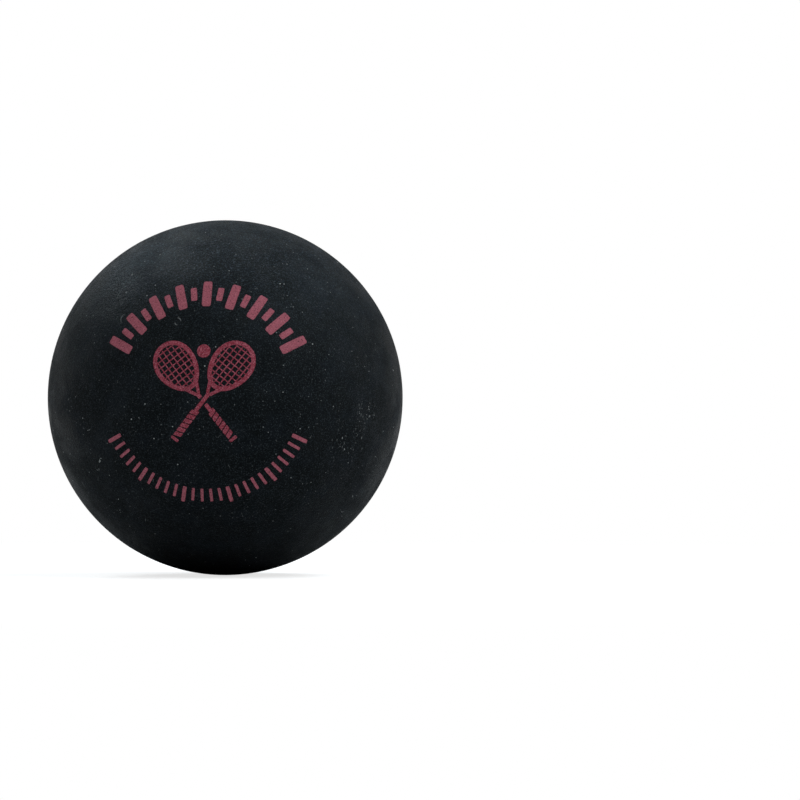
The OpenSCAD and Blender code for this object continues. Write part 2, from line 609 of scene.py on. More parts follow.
def make_print(name, strokes):
    """Joins the films of many strokes into one piece of ink. Strokes take turns at three heights, a
    thousandth of a millimetre apart, so that no two tops that cross lie in one surface."""
    all_points, all_faces, start = [], [], 0
    for number, (flat, closed) in enumerate(strokes):
        points, faces = film(flat, FILM_HEIGHT - FILM_STEP * (number % 3), closed)
        all_points.append(points)
        all_faces += [[start + corner for corner in face] for face in faces]
        start += len(points)
    piece = make_piece(name, np.concatenate(all_points), all_faces, slot="print_ink")
    middle = ACROSS.size // 2
    lengths = [np.linalg.norm(np.diff(flat[:, middle], axis=0), axis=1).sum() for flat, closed in strokes]
    print(f"{name}: {len(strokes)} strokes, {sum(lengths):.0f} mm of line")
    return piece


print("a bar of 3 mm has a grid of", bar([0, 0], [3, 0], 1)[0].shape[:2], "points")

# %% [markdown]
# The upper border is a bold arc of long and short bars in turn, and the lower one a fine arc of ticks,
# with every fifth one longer, like the marks round a dial.

# %% The two borders
ARC_MM = 1000 * ball_r  # so many mm along the ball make one radian at its middle
UPPER_INNER, UPPER_OUTER = ARC_MM * math.radians(28.4), ARC_MM * math.radians(38.0)
UPPER_BEARINGS = np.linspace(-61, 61, 17)
LOWER_INNER, LOWER_OUTER = ARC_MM * math.radians(31.9), ARC_MM * math.radians(37.7)
LOWER_BEARINGS = np.linspace(116, 244, 26)


def border(bearings, inner, outer, every, widths, cuts):
    """Bars at a row of bearings in degrees. One in so many is long and takes the first width. The others
    take the second width, and are cut short at their inner and outer ends."""
    strokes = []
    for number, bearing in enumerate(np.radians(bearings)):
        if number % every == 0:
            strokes.append(radial(bearing, inner, outer, widths[0]))
        else:
            strokes.append(radial(bearing, inner + cuts[0], outer - cuts[1], widths[1]))
    return strokes


upper = border(UPPER_BEARINGS, UPPER_INNER, UPPER_OUTER, every=2, widths=(1.06, 0.72), cuts=(0.8, 0.8))
upper_arc = make_print("print_upper_arc", upper)
lower = border(LOWER_BEARINGS, LOWER_INNER, LOWER_OUTER, every=5, widths=(0.46, 0.36), cuts=(0, 0.36))
lower_arc = make_print("print_lower_arc", lower)

# %% [markdown]
# The emblem between them is the common sign of the game: two crossed rackets and a ball. Each racket is
# drawn upright about the point where the shafts cross, and then leaned over. The head is an egg,
# strung both ways, two throat arms run into the shaft, and the grip is wrapped in slanting bands and
# ends in a cap. Where the second racket passes behind the first, its shaft is broken, so that the two
# stay apart.

# %% One racket
# All sizes are in mm. Heights count from the point where the two shafts cross.
HEAD_MIDDLE, HEAD_HALF_WIDTH, HEAD_HALF_LENGTH, HEAD_TAPER = 4.9, 2.1, 2.85, 0.13
FRAME_WIDTH, STRING_WIDTH = 0.50, 0.13
MAIN_STRINGS = np.linspace(-0.72, 0.72, 6)
CROSS_STRINGS = np.linspace(-0.78, 0.78, 8)
THROAT_SHARE, THROAT_SPREAD, THROAT_WIDTH = 0.86, 0.86, 0.36
THROAT_FOOT_X, THROAT_FOOT_Y = 0.13, 0.95
SHAFT_TOP, SHAFT_WIDTH, CROSSING_GAP = 1.15, 0.44, 0.42
GRIP_TOP, GRIP_END, GRIP_WIDTH, GRIP_SLANT = -1.5, -5.2, 0.84, 0.36
GRIP_BANDS = np.linspace(GRIP_END + 0.55, GRIP_TOP - 0.1, 6)
BAND_WIDTH = 0.50
CAP_WIDTH, CAP_REACH, CAP_DROP = 0.36, 0.57 * GRIP_WIDTH, 0.12


def head_half_width(along):
    """Half width of the head at a share of its half length, from -1 at the throat to 1 at the tip:
    an ellipse that is drawn in towards the throat."""
    return HEAD_HALF_WIDTH * np.sqrt(np.clip(1 - along**2, 0, 1)) * (1 + HEAD_TAPER * along)


def head():
    """The frame, which is the ellipse (sin t, cos t) drawn in towards the throat, and both sets of
    strings, each as long as the head is there."""
    turn = np.linspace(0, 2 * np.pi, 160, endpoint=False)
    egg = np.stack([np.sin(turn) * HEAD_HALF_WIDTH * (1 + HEAD_TAPER * np.cos(turn)),
                    HEAD_MIDDLE + HEAD_HALF_LENGTH * np.cos(turn)], axis=1)
    strokes = [stroke(egg, FRAME_WIDTH / 2, closed=True)]
    inside = 1 - FRAME_WIDTH / HEAD_HALF_WIDTH / 2
    for across in MAIN_STRINGS:
        reach = HEAD_HALF_LENGTH * inside * math.sqrt(1 - across**2)
        x = HEAD_HALF_WIDTH * across
        strokes.append(bar([x, HEAD_MIDDLE - reach], [x, HEAD_MIDDLE + reach], STRING_WIDTH))
    for along in CROSS_STRINGS:
        reach = float(head_half_width(along)) * inside
        y = HEAD_MIDDLE + HEAD_HALF_LENGTH * along
        strokes.append(bar([-reach, y], [reach, y], STRING_WIDTH))
    return strokes


def grip():
    """Slanting bands, each a level bar sheared upwards, and the cap at the end."""
    strokes = []
    shear = np.array([[1, GRIP_SLANT], [0, 1]])
    for y in GRIP_BANDS:
        flat, closed = bar([-GRIP_WIDTH / 2, y], [GRIP_WIDTH / 2, y], BAND_WIDTH, roundness=14)
        strokes.append((flat @ shear, closed))
    y = GRIP_END - CAP_DROP
    strokes.append(bar([-CAP_REACH, y], [CAP_REACH, y], CAP_WIDTH, roundness=6))
    return strokes


def racket(front):
    """The strokes of one upright racket. The one behind has a gap in its shaft at the crossing."""
    strokes = head()
    throat = HEAD_MIDDLE - HEAD_HALF_LENGTH * THROAT_SHARE
    for side in (-1, 1):
        foot = [THROAT_FOOT_X * side, THROAT_FOOT_Y]
        strokes.append(bar(foot, [THROAT_SPREAD * side, throat], THROAT_WIDTH))
    if front:
        spans = [(GRIP_TOP, SHAFT_TOP)]
    else:
        spans = [(GRIP_TOP, -CROSSING_GAP), (CROSSING_GAP, SHAFT_TOP)]
    strokes += [bar([0, low], [0, high], SHAFT_WIDTH) for low, high in spans]
    return strokes + grip()


print("one racket has", len(racket(front=True)), "strokes")

# %% The crossed rackets
LEAN = math.radians(38)
EMBLEM_DROP = 1.0
SMALL_BALL_UP, SMALL_BALL_WIDTH = 4.55, 1.5


def leaned(strokes, lean):
    """Turns strokes clockwise by a lean, and drops them so that the emblem is centred on the print."""
    turn = np.array([[math.cos(lean), -math.sin(lean)], [math.sin(lean), math.cos(lean)]])
    return [(flat @ turn + [0, -EMBLEM_DROP], closed) for flat, closed in strokes]


emblem_strokes = leaned(racket(front=True), LEAN) + leaned(racket(front=False), -LEAN)
emblem_strokes.append(dot([0, SMALL_BALL_UP], SMALL_BALL_WIDTH))
emblem = make_print("print_emblem", emblem_strokes)

# %% [markdown]
# Materials come next. Every pattern reads Object coordinates, which are metres on the ball itself, so a
# spacing of so many millimetres is asked for directly, and the pattern stays put whichever way the ball
# is seen. One helper turns the usual hex colours to the linear values that shaders mix with, and one adds
# a node of any kind with its settings and its links.

# %% Colours and nodes
# The inputs of the nodes that come back most, in order: a noise has its place, scale, detail and
# roughness, Map Range a value, two limits and what they become, and Mix a share and two colours.
SOFT = {"interpolation_type": "SMOOTHSTEP"}  # for Map Range: soft ends
COLOUR = {"data_type": "RGBA"}  # for Mix: colours, not plain values
TIMES = {"operation": "MULTIPLY"}  # for Math


def linear(hex_colour):
    """An sRGB hex colour as linear red, green and blue, with alpha 1: below 0.04045 the value over
    12.92, above it ((value + 0.055) / 1.055) to the power 2.4."""
    parts = [int(hex_colour[i : i + 2], 16) / 255 for i in (1, 3, 5)]
    return (*[part / 12.92 if part <= 0.04045 else ((part + 0.055) / 1.055) ** 2.4 for part in parts], 1)


def per_mm(spacing_mm):
    """The scale of a pattern whose features are a given number of millimetres apart."""
    return 1000 / spacing_mm


def add(tree, kind, inputs=(), **settings):
    """Adds a shader node of a kind. Its inputs are a list, in the order of the sockets in use, or go by
    their names. Each is a plain value, an output, or a node, which stands for its first output in use."""
    node = tree.nodes.new("ShaderNode" + kind)
    for name, value in settings.items():
        setattr(node, name, value)
    if isinstance(inputs, dict):
        pairs = [(node.inputs[name], value) for name, value in inputs.items()]
    else:
        pairs = list(zip([socket for socket in node.inputs if socket.enabled], inputs))
    for socket, value in pairs:
        if isinstance(value, bpy.types.Node):
            value = next(output for output in value.outputs if output.enabled)
        if isinstance(value, bpy.types.NodeSocket):
            tree.links.new(value, socket)
        else:
            socket.default_value = value
    return node


print(f"#808080 is {linear('#808080')[0]:.3f} in linear light")
print(f"a spacing of 0.5 mm is a scale of {per_mm(0.5):.0f}")

# %% [markdown]
# Every material starts with an empty tree and the place on the ball, and ends in a Principled shader
# under a bump. A pattern often asks whether any of several marks is there, which is their largest value.

# %% Starting and ending a material
def new_material(name):
    """An empty material, its node tree, and the place on the ball that its patterns read."""
    material = bpy.data.materials.new(name)
    material.use_nodes = True
    tree = material.node_tree
    tree.nodes.clear()
    return material, tree, add(tree, "TexCoord").outputs["Object"]


def finish_material(material, shader_inputs, height, height_mm):
    """Ends a material: a Principled shader with its inputs, bumped by a height of so many mm."""
    tree = material.node_tree
    bump = add(tree, "Bump", {"Height": height, "Distance": height_mm * MM, "Strength": 1.0})
    shader = add(tree, "BsdfPrincipled", shader_inputs | {"Normal": bump})
    add(tree, "OutputMaterial", [shader])
    print(f"{material.name}: {len(tree.nodes)} nodes")


def any_of(tree, *values):
    """The largest of some values from 0 to 1, which is 1 if any of them is."""
    largest = values[0]
    for value in values[1:]:
        largest = add(tree, "Math", [largest, value], operation="MAXIMUM")
    return largest


print(f"a bump of 0.1 mm has a distance of {0.1 * MM:.4f}, because the Bump node counts in metres")

# %% [markdown]
# The rubber is black with carbon, and after moulding it is tumbled and buffed. That leaves a matt, finely
# pocked skin with no clear reflections: the light spreads into broad cool-grey hazes, strongest
# towards the edge of the ball. A cushion of fine bumps and a low, wide gloss give that.
# Black rubber also shows whatever lies on it. The next cells make these marks, and dust comes first: a
# round speck a tenth or two of a millimetre across in each cell of a Voronoi pattern, mostly faint.

# %% Specks of dust
SPECK_POWER = -0.7
MOST_COVER = 0.9
SOFT_EDGE = 0.6  # a speck is full inside this share of its radius


def spots(tree, where, spacing_mm, size_mm):
    """Round spots, one in each cell of a Voronoi pattern. Returns how far a point is inside its spot,
    from 0 to 1, and three random numbers of the spot."""
    inputs = {"Vector": where, "Scale": per_mm(spacing_mm), "Randomness": 1.0}
    cells = add(tree, "TexVoronoi", inputs, feature="F1")
    radius = size_mm / 2 / spacing_mm
    inside = add(tree, "MapRange", [cells.outputs["Distance"], radius, radius * SOFT_EDGE], **SOFT)
    return inside, add(tree, "SeparateColor", [cells.outputs["Color"]]).outputs


def dust_specks(tree, where, spacing_mm, size_mm, faintest):
    """Dust that is mostly faint. The cover of a speck is the faintest one's times a random number to the
    power of -0.7, and at most nine tenths."""
    inside, dice = spots(tree, where, spacing_mm, size_mm)
    cover = add(tree, "Math", [dice[0], SPECK_POWER], operation="POWER")
    cover = add(tree, "Math", [cover, faintest], **TIMES)
    cover = add(tree, "Math", [cover, MOST_COVER], operation="MINIMUM")
    return add(tree, "Math", [inside, cover], **TIMES)


print(f"one speck in ten is over {0.1**SPECK_POWER:.1f} times as bright as the faintest")

# %% [markdown]
# Marks that stand out one by one need a place on the ball. It is given as the camera sees it, or as seen
# from behind, and the mark fades away from it. Where a smooth noise moves the coordinates, what is
# straight in them bends.

# %% Places on the ball
FULL_WITHIN = 0.2  # a mark is full inside this share of its reach


def on_view(right, up):
    """The point of the ball that the camera sees at a share of its radius to the right and upwards."""
    toward = math.sqrt(1 - right**2 - up**2)
    return ball_r * (right * RIGHT + up * UP + toward * TOWARD)


def on_rear(right_mm, up_mm):
    """The point of the ball that lies so many mm to the right of the dot's middle and above it, as seen
    from behind."""
    right, up = right_mm * MM, up_mm * MM
    return Vector((-right, math.sqrt(ball_r**2 - right**2 - up**2), up))


def near(tree, where, middle, reach_mm):
    """1 close to a point of the ball, and fading to 0 at a distance from it."""
    offset = add(tree, "VectorMath", [where, middle], operation="DISTANCE")
    reach = reach_mm * MM
    return add(tree, "MapRange", [offset, reach, FULL_WITHIN * reach], **SOFT)


def bent(tree, where, spacing_mm, shift_mm):
    """Coordinates plus a smooth noise in all three directions, whose middle is shift_mm."""
    wander = add(tree, "TexNoise", [where, per_mm(spacing_mm), 0.0]).outputs["Color"]
    return add(tree, "VectorMath", [wander, (2 * shift_mm * MM,) * 3, where], operation="MULTIPLY_ADD")


print("seen at the middle of the ball, mm:", [round(float(value / MM), 2) for value in on_view(0, 0)])

# %% [markdown]
# Three more marks are made of these. A highlight cloud is painted highlight: a thin pale cloud, uneven like
# wiped powder, where the soft light's haze is brightest. A fibre is a thin ring of which only a short piece
# is kept. A scuff is a place that a wall or a floor has rubbed: short upright dashes, with fine dust in
# upright streaks between them. A round speck comes out as a dash where a Mapping node has stretched the
# coordinates.

# %% Highlight clouds, fibres and scuffs
FIBRE_INNER, FIBRE_OUTER = 0.03, 0.07  # mm from its middle line where a fibre is full, and where it ends
SCUFF_LEAN = (0.06, 0.05, 0)
UPRIGHT_DASH, UPRIGHT_STREAK = (1, 1, 3), (1, 1, 6)


def painted_highlight_cloud(tree, where, middle, reach_mm, cover):
    """A soft pale cloud of painted highlight, uneven inside, that fades out with the distance from its
    middle.
    """
    clouds = add(tree, "TexNoise", [where, per_mm(1.6), 3.0])
    uneven = add(tree, "MapRange", [clouds, 0.3, 0.7, 0.4 * cover, cover], **SOFT)
    return add(tree, "Math", [uneven, near(tree, where, middle, reach_mm)], **TIMES)


def hair(tree, where, middle, centre, reach_mm, cover):
    """One bent fibre: a thin ring about a centre, kept only near the fibre's middle, which lies on it."""
    radius = float(np.linalg.norm(np.subtract(middle, centre)))
    offset = add(tree, "VectorMath", [where, centre], operation="DISTANCE")
    outwards = add(tree, "Math", [offset, radius], operation="SUBTRACT")
    off_ring = add(tree, "Math", [outwards], operation="ABSOLUTE")
    line = add(tree, "MapRange", [off_ring, FIBRE_OUTER * MM, FIBRE_INNER * MM, 0.0, cover], **SOFT)
    return add(tree, "Math", [line, near(tree, where, middle, reach_mm)], **TIMES)


def scuff(tree, where, middle, reach_mm, cover):
    """A scuffed place: dashes three times as long as wide, and dust where a noise that is stretched six
    times is high. Both fade out with the distance from its middle."""
    inputs = {"Vector": where, "Rotation": SCUFF_LEAN, "Scale": UPRIGHT_DASH}
    dashes = add(tree, "Mapping", inputs, vector_type="TEXTURE")
    dashes = dust_specks(tree, dashes, spacing_mm=0.37, size_mm=0.13, faintest=0.75 * cover)
    inputs = {"Vector": where, "Rotation": SCUFF_LEAN, "Scale": UPRIGHT_STREAK}
    streaks = add(tree, "Mapping", inputs, vector_type="TEXTURE")
    streaks = add(tree, "TexNoise", [streaks, per_mm(0.7), 1.0])
    streaks = add(tree, "MapRange", [streaks, 0.50, 0.62], **SOFT)
    fine = dust_specks(tree, where, spacing_mm=0.23, size_mm=0.15, faintest=0.45 * cover)
    fine = add(tree, "Math", [fine, streaks], **TIMES)
    return add(tree, "Math", [any_of(tree, dashes, fine), near(tree, where, middle, reach_mm)], **TIMES)


print(f"a fibre is {2 * FIBRE_OUTER:.2f} mm wide with its soft edges")

# %% [markdown]
# Most of the dust and fibres are a pattern, and only the few marks that catch the eye are listed here.

# %% Where the marks lie
# Each row ends with how far the mark reaches, in mm, and with the most that it covers.
# The clouds are painted highlights, laid where the soft light's haze on the ball is brightest.
HIGHLIGHT_CLOUDS = [((-0.47, 0.76), 6.0, 0.165), ((0.55, 0.60), 5.5, 0.06)]
SCUFFS = [((0.79, -0.09), 2.6, 0.27), ((0.68, -0.25), 3.6, 0.30)]
# A fibre has a middle, and the centre of its bend.
FIBRES = [
    ((-0.576, 0.439), (-0.552, 0.439), 0.80, 0.24),
    ((-0.592, 0.572), (-0.500, 0.560), 0.75, 0.13),
    ((-0.250, 0.434), (-0.268, 0.418), 0.45, 0.34),
    ((-0.274, 0.404), (-0.262, 0.414), 0.35, 0.29),
    ((-0.792, -0.484), (-0.770, -0.470), 0.60, 0.20),
    ((0.650, -0.637), (0.662, -0.620), 0.50, 0.30),
]
# The grains by the dot are placed in mm from its middle, as seen from behind.
REAR_GRAINS = [((-0.32, 1.93), 0.13, 0.55), ((0.83, 1.32), 0.15, 0.48)]
print(len(HIGHLIGHT_CLOUDS), "smudges,", len(SCUFFS), "scuffs,", len(FIBRES), "fibres,", len(REAR_GRAINS), "grains")

# %% [markdown]
# The rubber's colour is built up in layers: the black itself with the grit of the buffing wheel, pale
# grains on top that are partly settled dust and partly painted light, clouds of painted highlight, the
# loose dust, and the lines that grinding left along the seam. The grain of real grit is too fine to show,
# so it is drawn as coarse as it needs to show.

# %% Black, grit, and pale grains on top
TOP_GRAINS_FROM, TOP_GRAINS_FULL = 0.25, 0.90  # heights, as shares of the ball's radius


def rubber_colour(tree, where, haze, mottle, grain):
    """Near black, a little cooler or warmer from place to place, with the pale grit of the buffing."""
    bloom = add(tree, "TexNoise", [where, per_mm(3.1), 3.0, 0.6])
    patches = add(tree, "MapRange", [mottle, 0.3, 0.7], **SOFT)
    cooler = add(tree, "MapRange", [bloom, 0.42, 0.66, 0.0, 0.45], **SOFT)
    warmer = add(tree, "MapRange", [haze, 0.42, 0.30, 0.0, 0.22], **SOFT)
    grit = add(tree, "MapRange", [grain, 0.52, 0.72], **SOFT)
    base = add(tree, "Mix", [patches, linear("#050607"), linear("#0b0d0f")], **COLOUR)
    base = add(tree, "Mix", [cooler, base, linear("#181d24")], **COLOUR)
    base = add(tree, "Mix", [warmer, base, linear("#1c1815")], **COLOUR)
    return add(tree, "Mix", [grit, base, linear("#3e4549")], **COLOUR)


def top_dust_and_light(tree, where):
    """Pale bluish grains, none low on the ball and more and more towards its top: settled dust, and painted
    light on the lit top.
    """
    level = add(tree, "SeparateXYZ", [where]).outputs["Z"]
    top = add(tree, "MapRange", [level, TOP_GRAINS_FROM * ball_r, TOP_GRAINS_FULL * ball_r, 0.0, 0.50], **SOFT)
    grains = add(tree, "TexNoise", [where, per_mm(0.20), 1.0])
    grains = add(tree, "MapRange", [grains, 0.53, 0.77], **SOFT)
    return add(tree, "Math", [top, grains], **TIMES)


print(f"powder starts {TOP_GRAINS_FROM * ball_r / MM:.0f} mm above the ball's middle")

# %% Loose dust
# Two sets of bent fibres: how they are turned, how much longer than wide they are, and their width in mm
FIBRE_SETS = [((0.3, 0.9, 1.1), (6, 1, 1), 0.13), ((1.9, 0.2, 2.4), (9, 1, 1), 0.12)]


def loose_dust(tree, where):
    """Fine dust and larger flakes, both thicker in some places, two sets of bent fibres that lie different
    ways, and the marks that have a place of their own."""
    settled = add(tree, "TexNoise", [where, per_mm(6.0), 1.0])
    settled = add(tree, "MapRange", [settled, 0.35, 0.65, 0.45, 1.6], **SOFT)
    fine = dust_specks(tree, where, spacing_mm=0.43, size_mm=0.16, faintest=0.028)
    flakes = dust_specks(tree, where, spacing_mm=2.1, size_mm=0.19, faintest=0.42)
    marks = [add(tree, "Math", [settled, dust], **TIMES) for dust in (fine, flakes)]
    curved = bent(tree, where, spacing_mm=0.9, shift_mm=0.5)
    for turn, lengths, width_mm in FIBRE_SETS:
        inputs = {"Vector": curved, "Rotation": turn, "Scale": lengths}
        drawn_out = add(tree, "Mapping", inputs, vector_type="TEXTURE")
        marks.append(dust_specks(tree, drawn_out, spacing_mm=1.2, size_mm=width_mm, faintest=0.10))
    for middle, bend, reach_mm, cover in FIBRES:
        marks.append(hair(tree, where, on_view(*middle), on_view(*bend), reach_mm, cover))
    for place, reach_mm, cover in SCUFFS:
        marks.append(scuff(tree, where, on_view(*place), reach_mm, cover))
    for place, reach_mm, cover in REAR_GRAINS:
        grain = near(tree, where, on_rear(*place), reach_mm)
        marks.append(add(tree, "Math", [grain, cover], **TIMES))
    return any_of(tree, *marks)


print("the fibres are", [max(lengths) for turn, lengths, width_mm in FIBRE_SETS], "times as long as wide")

# %% The ground seam
GROUND_FULL, GROUND_REACH = 0.3, 1.3  # mm from the seam


def ground_seam(tree, where):
    """Fine lines along the seam, left where the cement was ground off, fading out away from it."""
    across = add(tree, "SeparateXYZ", [where]).outputs["Y"]
    across = add(tree, "Math", [across], operation="ABSOLUTE")
    band = add(tree, "MapRange", [across, GROUND_REACH * MM, GROUND_FULL * MM], **SOFT)
    lines = add(tree, "Mapping", {"Vector": where, "Scale": (9, 1, 9)}, vector_type="TEXTURE")
    lines = add(tree, "TexNoise", [lines, per_mm(0.14), 2.0])
    lines = add(tree, "MapRange", [lines, 0.46, 0.70, 0.0, 0.30], **SOFT)
    return add(tree, "Math", [band, lines], **TIMES)


print(f"the seam is ground over {2 * GROUND_REACH:.1f} mm")

# %% [markdown]
# The five layers and the bumps make the material. Its gloss is low and wide, a little shinier where the
# wheel has pressed harder, and tinted cool, as old rubber looks.

# %% Black rubber
def buffed_rubber():
    """Moulded black rubber, buffed matt: it gives the eye a deep black that a soft cool haze lies on."""
    material, tree, where = new_material("black_rubber_moulded_and_buffed")
    haze = add(tree, "TexNoise", [where, per_mm(5.0), 3.0, 0.6])
    mottle = add(tree, "TexNoise", [where, per_mm(0.62), 3.0, 0.6])
    pebble = add(tree, "TexNoise", [where, per_mm(0.30), 2.0, 0.6])
    grain = add(tree, "TexNoise", [where, per_mm(0.125), 2.0, 0.6])
    highlight_clouds = [painted_highlight_cloud(tree, where, on_view(*place), reach_mm, cover) for place, reach_mm, cover in HIGHLIGHT_CLOUDS]
    base = rubber_colour(tree, where, haze, mottle, grain)
    # Pale grains on the top: partly settled dust, partly painted light where the top is lit.
    base = add(tree, "Mix", [top_dust_and_light(tree, where), base, linear("#5e6c7a")], **COLOUR)
    # Painted highlight: pale clouds where the soft light's haze is brightest.
    base = add(tree, "Mix", [any_of(tree, *highlight_clouds), base, linear("#68727a")], **COLOUR)
    base = add(tree, "Mix", [loose_dust(tree, where), base, linear("#d0d5d4")], **COLOUR)
    base = add(tree, "Mix", [ground_seam(tree, where), base, linear("#4a4f52")], **COLOUR)
    height = add(tree, "Math", [pebble, 0.9, grain], operation="MULTIPLY_ADD")
    height = add(tree, "Math", [mottle, 0.5, height], operation="MULTIPLY_ADD")
    shine = add(tree, "MapRange", [haze, 0.36, 0.64, 0.47, 0.66], **SOFT)
    shader_inputs = {"Base Color": base, "Roughness": shine, "Specular IOR Level": 0.13}
    shader_inputs["Specular Tint"] = (0.70, 0.90, 1.0, 1.0)
    finish_material(material, shader_inputs, height, height_mm=0.120)
    return material


rubber = buffed_rubber()
front_skin.data.materials.append(rubber)
rear_skin.data.materials.append(rubber)

# %% [markdown]
# Cured rubber cement is a dark brown gum, a little shinier than the buffed rubber. At the surface it shows
# only as a hairline round the ball, and not everywhere: where the wheel has smeared rubber over it, the
# line fades into the black.

# %% Cement
def cured_cement():
    """Rubber cement, brushed on and cured: it gives the eye a thin dark line of warmer colour."""
    material, tree, where = new_material("rubber_cement_cured")
    lumps = add(tree, "TexNoise", [where, per_mm(0.9), 3.0])
    smears = add(tree, "TexNoise", [where, per_mm(3.5), 3.0])
    smeared = add(tree, "MapRange", [smears, 0.42, 0.58, 0.0, 0.85], **SOFT)
    base = add(tree, "Mix", [lumps, linear("#1b1813"), linear("#2c2820")], **COLOUR)
    base = add(tree, "Mix", [smeared, base, linear("#121416")], **COLOUR)
    shader_inputs = {"Base Color": base, "Roughness": 0.5, "Specular IOR Level": 0.35}
    finish_material(material, shader_inputs, lumps, height_mm=0.03)
    return material


cement_ring.data.materials.append(cured_cement())

# %% [markdown]
# Pad-printing ink dries to a matt film about a hundredth of a millimetre thick. It is thin enough for the
# black rubber to dull its red, and it misses the deepest pores, which show as pinholes. The pad presses
# hardest in the middle, so towards the borders the film is thinner and greyer. Real grain is finer than
# the picture can show, so this one is drawn as coarse as it needs to show.

# %% Ink
def pad_print_ink():
    """Pad-printed ink, dried matt: it gives the eye a dull, dusty red with broken edges."""
    material, tree, where = new_material("pad_print_ink_matt_red")
    grain = add(tree, "TexNoise", [where, per_mm(0.14), 3.0, 0.65])
    cover = add(tree, "TexNoise", [where, per_mm(2.2), 2.0])
    pores = add(tree, "TexNoise", [where, per_mm(0.15), 2.0])
    depth = add(tree, "SeparateXYZ", [where]).outputs["Y"]
    cover = add(tree, "MapRange", [cover, 0.3, 0.7], **SOFT)
    thin = add(tree, "MapRange", [depth, -0.94 * ball_r, -0.88 * ball_r, 0.0, 0.75], **SOFT)
    pale = add(tree, "MapRange", [grain, 0.44, 0.66, 0.0, 0.95], **SOFT)
    pores = add(tree, "Math", [add(tree, "MapRange", [pores, 0.40, 0.32], **SOFT), 0.8], **TIMES)
    base = add(tree, "Mix", [cover, linear("#9c3747"), linear("#a84252")], **COLOUR)
    base = add(tree, "Mix", [thin, base, linear("#bc6b78")], **COLOUR)
    base = add(tree, "Mix", [pale, base, linear("#d07a8a")], **COLOUR)
    base = add(tree, "Mix", [pores, base, linear("#3a2226")], **COLOUR)
    shader_inputs = {"Base Color": base, "Roughness": 0.62, "Specular IOR Level": 0.14}
    finish_material(material, shader_inputs, grain, height_mm=0.018)
    return material


ink = pad_print_ink()
for printed in (upper_arc, lower_arc, emblem):
    printed.data.materials.append(ink)

# %% [markdown]
# The dot is a thicker, brighter red paint. Its pits are darker, because dirt and shadow gather in them, its
# rim has a painted highlight on one side, and one spot near it has a small pale painted glint. Its grain
# too is drawn as coarse as it needs to show.

# %% Dot paint
def stamped_paint():
    """Paint dabbed on by a stamp, dried matt: it gives the eye one bright red, gritty spot."""
    material, tree, where = new_material("stamped_dot_paint_matt_red")
    shares = {}
    for name in dot_shares:
        shares[name] = add(tree, "Attribute", attribute_name=name).outputs["Fac"]
    patch = add(tree, "TexNoise", [where, per_mm(0.42), 2.0])
    grain = add(tree, "TexNoise", [where, per_mm(0.13), 3.0, 0.65])
    patch = add(tree, "MapRange", [patch, 0.36, 0.64], **SOFT)
    dark = add(tree, "MapRange", [grain, 0.50, 0.35, 0.0, 0.90], **SOFT)
    light = add(tree, "MapRange", [grain, 0.52, 0.64, 0.0, 0.85], **SOFT)
    pits = add(tree, "MapRange", [shares["pit"], 0.05, 0.6, 0.0, 0.9], **SOFT)
    dust = dust_specks(tree, where, spacing_mm=0.30, size_mm=0.10, faintest=0.06)
    base = add(tree, "Mix", [patch, linear("#a8282b"), linear("#d84246")], **COLOUR)
    # Two of these layers are painted highlights: the lit rim, and the small pale glint near it.
    layers = [
        (shares["rubbed"], "#ff7c80"), (dark, "#600c10"), (light, "#ff8280"),
        (pits, "#66090d"), (shares["pale"], "#ffa480"), (dust, "#e8b4ae"),
    ]
    for share, hex_colour in layers:
        base = add(tree, "Mix", [share, base, linear(hex_colour)], **COLOUR)
    shader_inputs = {"Base Color": base, "Roughness": 0.60, "Specular IOR Level": 0.10}
    finish_material(material, shader_inputs, grain, height_mm=0.020)
    return material


dot_paint.data.materials.append(stamped_paint())

# %% [markdown]
# The camera looks level with a long lens, so the ball looks almost as it would from far away. Its place
# follows from two measures of the photograph, the ball's radius and its middle in pixels: the lens is
# the one that shows the ball at that radius, and the aim is the point that puts it at that middle.

# %% Camera
PHOTO_SIDE = 800
BALL_RADIUS_PX = 177.6
BALL_CENTRE_PX = (225.4, 397.7)
SENSOR = 36.0  # mm

focal_px = BALL_RADIUS_PX / math.tan(math.asin(ball_r / CAMERA_DISTANCE))
right_px = BALL_CENTRE_PX[0] - PHOTO_SIDE / 2
up_px = PHOTO_SIDE / 2 - BALL_CENTRE_PX[1]
aim = (-right_px * RIGHT - up_px * UP) * (CAMERA_DISTANCE / focal_px)
camera_data = bpy.data.cameras.new("camera")
camera_data.sensor_width = SENSOR
camera_data.lens = focal_px * SENSOR / PHOTO_SIDE
camera = bpy.data.objects.new("camera", camera_data)
camera.location = TOWARD * CAMERA_DISTANCE
camera.rotation_euler = (aim - camera.location).to_track_quat("-Z", "Y").to_euler()
bpy.context.scene.collection.objects.link(camera)
bpy.context.scene.camera = camera
print(f"lens {camera_data.lens:.0f} mm at {CAMERA_DISTANCE} m")

# %% [markdown]
# The light is a plain studio one: two big soft boxes on the camera's side, to the left and the right, and
# two smaller ones behind the ball, which draw the pale haze along its upper left and upper right. The
# front ones have the colour of daylight, a touch cool, and the back ones a bluer sky colour, so the haze
# is bluer than the ball's face.

# %% Lamps
LAMP_DISTANCE = 0.8
DAYLIGHT, SKY = (0.92, 0.97, 1.0), (0.84, 0.94, 1.0)
BIG_BOX, SMALL_BOX = 0.5, 0.3


